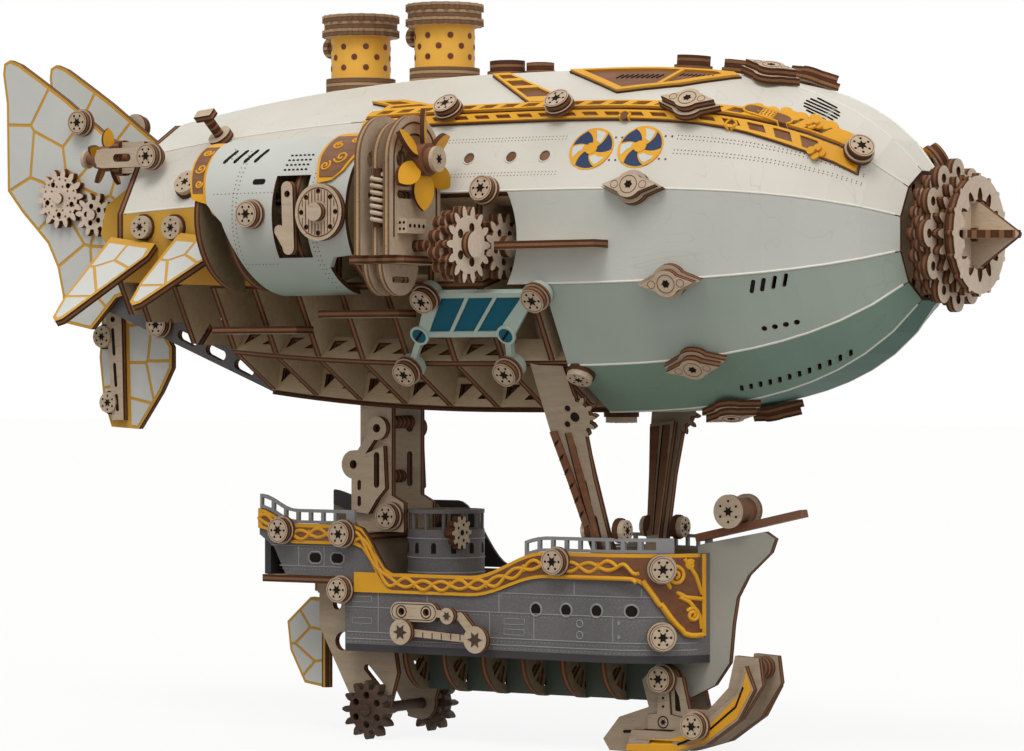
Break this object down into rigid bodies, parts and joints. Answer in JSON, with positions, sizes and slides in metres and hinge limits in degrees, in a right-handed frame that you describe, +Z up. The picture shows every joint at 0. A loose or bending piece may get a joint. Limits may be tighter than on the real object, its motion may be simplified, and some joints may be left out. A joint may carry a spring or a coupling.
{
  "type": "airship model",
  "caption": "Wooden construction-kit airship: a faceted envelope with engine nacelles, finned tail and turning gears and propellers, carrying a ship-shaped gondola on struts.",
  "frame": {"origin": "on the floor, at the middle of the model's box", "axes": "+X to the nose, -Y to starboard, +Z up"},
  "size_m": [0.32, 0.139, 0.2],
  "materials": {
    "ply": "raw laser-cut birch plywood with burnt edges",
    "stained_ply": "dark stained plywood",
    "printed_white": "matte warm white print on plywood with fine engraved lines",
    "printed_green": "matte grey-green print on veneer",
    "printed_gold": "matte golden yellow print on plywood",
    "printed_slate": "matte dark grey print on plywood with pale plank lines",
    "printed_mint": "matte pale mint print on plywood",
    "printed_teal": "teal print behind the window frame"
  },
  "bodies": {
    "airship": {"crown_panel": "printed_white", "upper_panels": "printed_white", "shoulder_panels": "printed_white", "side_panels": "printed_white", "lower_panels": "printed_green", "bilge_panels": "printed_green", "keel_panel": "printed_green", "bulkheads": "ply", "stringers": "ply", "trim_base": "stained_ply", "trim_fret": "printed_gold", "ridge_bosses": "ply", "bolt_caps": "ply", "chimney_bases": "ply", "chimney_tubes": "printed_gold", "chimney_rims": "ply", "nacelle_covers": "printed_white", "nacelle_formers": "ply", "nacelle_trim": "printed_gold", "engine_arches": "ply", "catwalks": "ply", "nacelle_fittings": "ply", "window_frames": "printed_mint", "window_panes": "printed_teal", "tail_fins": "printed_white", "tail_cheeks": "printed_gold", "tail_planes": "printed_white", "tail_booms": "printed_slate", "ventral_fin": "printed_white", "tail_forks": "ply", "rear_strut": "ply", "front_struts": "ply", "hull_sides": "printed_slate", "hull_trim": "printed_gold", "decks": "ply", "rails": "printed_slate", "turret": "printed_slate", "hull_ribs": "ply", "stem_plate": "ply", "bowsprit": "stained_ply", "pipework": "ply", "skids": "ply", "stern_legs": "ply"},
    "nose_hub": {"nose_rotor": "ply", "nose_cone": "ply", "nose_axle": "stained_ply"},
    "stern_axle": {"stern_wheels": "stained_ply"},
    "rudder": {"rudder": "printed_white"},
    "propeller_starboard": {"propeller_starboard": "printed_gold"},
    "drive_gear_starboard": {"drive_gear_starboard": "ply"},
    "idler_gear_starboard": {"idler_gear_starboard": "ply"},
    "tail_propeller_starboard": {"tail_propeller_starboard": "printed_gold"},
    "tail_gear_starboard": {"tail_gear_starboard": "ply"},
    "tail_pinion_starboard": {"tail_pinion_starboard": "ply"},
    "propeller_port": {"propeller_port": "printed_gold"},
    "drive_gear_port": {"drive_gear_port": "ply"},
    "idler_gear_port": {"idler_gear_port": "ply"},
    "tail_propeller_port": {"tail_propeller_port": "printed_gold"},
    "tail_gear_port": {"tail_gear_port": "ply"},
    "tail_pinion_port": {"tail_pinion_port": "ply"}
  },
  "joints": [
    {"name": "nose_spin", "type": "hinge", "parent": "airship", "child": "nose_hub", "pos_m": [0.137, 0, 0.134], "axis": [1, 0, 0], "continuous": true},
    {"name": "propeller_spin_starboard", "type": "hinge", "parent": "airship", "child": "propeller_starboard", "pos_m": [0.022, -0.058, 0.154], "axis": [1, 0, 0], "continuous": true},
    {"name": "drive_gear_spin_starboard", "type": "hinge", "parent": "airship", "child": "drive_gear_starboard", "pos_m": [0.0325, -0.058, 0.132], "axis": [1, 0, 0], "continuous": true},
    {"name": "idler_gear_spin_starboard", "type": "hinge", "parent": "airship", "child": "idler_gear_starboard", "pos_m": [0.0325, -0.04149, 0.132], "axis": [1, 0, 0], "continuous": true},
    {"name": "tail_propeller_spin_starboard", "type": "hinge", "parent": "airship", "child": "tail_propeller_starboard", "pos_m": [-0.108, -0.022, 0.16], "axis": [1, 0, 0], "continuous": true},
    {"name": "tail_gear_spin_starboard", "type": "hinge", "parent": "airship", "child": "tail_gear_starboard", "pos_m": [-0.1367, -0.0105, 0.1497], "axis": [0, 1, 0], "continuous": true},
    {"name": "tail_pinion_spin_starboard", "type": "hinge", "parent": "airship", "child": "tail_pinion_starboard", "pos_m": [-0.12446, -0.0105, 0.14476], "axis": [0, 1, 0], "continuous": true},
    {"name": "propeller_spin_port", "type": "hinge", "parent": "airship", "child": "propeller_port", "pos_m": [0.022, 0.058, 0.154], "axis": [1, 0, 0], "continuous": true},
    {"name": "drive_gear_spin_port", "type": "hinge", "parent": "airship", "child": "drive_gear_port", "pos_m": [0.0325, 0.058, 0.132], "axis": [1, 0, 0], "continuous": true},
    {"name": "idler_gear_spin_port", "type": "hinge", "parent": "airship", "child": "idler_gear_port", "pos_m": [0.0325, 0.04149, 0.132], "axis": [1, 0, 0], "continuous": true},
    {"name": "tail_propeller_spin_port", "type": "hinge", "parent": "airship", "child": "tail_propeller_port", "pos_m": [-0.108, 0.022, 0.16], "axis": [1, 0, 0], "continuous": true},
    {"name": "tail_gear_spin_port", "type": "hinge", "parent": "airship", "child": "tail_gear_port", "pos_m": [-0.1367, 0.0105, 0.1497], "axis": [0, 1, 0], "continuous": true},
    {"name": "tail_pinion_spin_port", "type": "hinge", "parent": "airship", "child": "tail_pinion_port", "pos_m": [-0.12446, 0.0105, 0.14476], "axis": [0, 1, 0], "continuous": true},
    {"name": "stern_wheel_roll", "type": "hinge", "parent": "airship", "child": "stern_axle", "pos_m": [-0.027, 0, 0.008], "axis": [0, 1, 0], "continuous": true},
    {"name": "rudder_swing", "type": "hinge", "parent": "airship", "child": "rudder", "pos_m": [-0.052, 0, 0.04], "axis": [0, 0, 1], "range_deg": [-30, 30]}
  ],
  "couplings": [
    {"joint": "idler_gear_spin_starboard", "follows": "drive_gear_spin_starboard", "ratio": -1.1667},
    {"joint": "tail_pinion_spin_starboard", "follows": "tail_gear_spin_starboard", "ratio": -1.4},
    {"joint": "idler_gear_spin_port", "follows": "drive_gear_spin_port", "ratio": -1.1667},
    {"joint": "tail_pinion_spin_port", "follows": "tail_gear_spin_port", "ratio": -1.4}
  ]
}
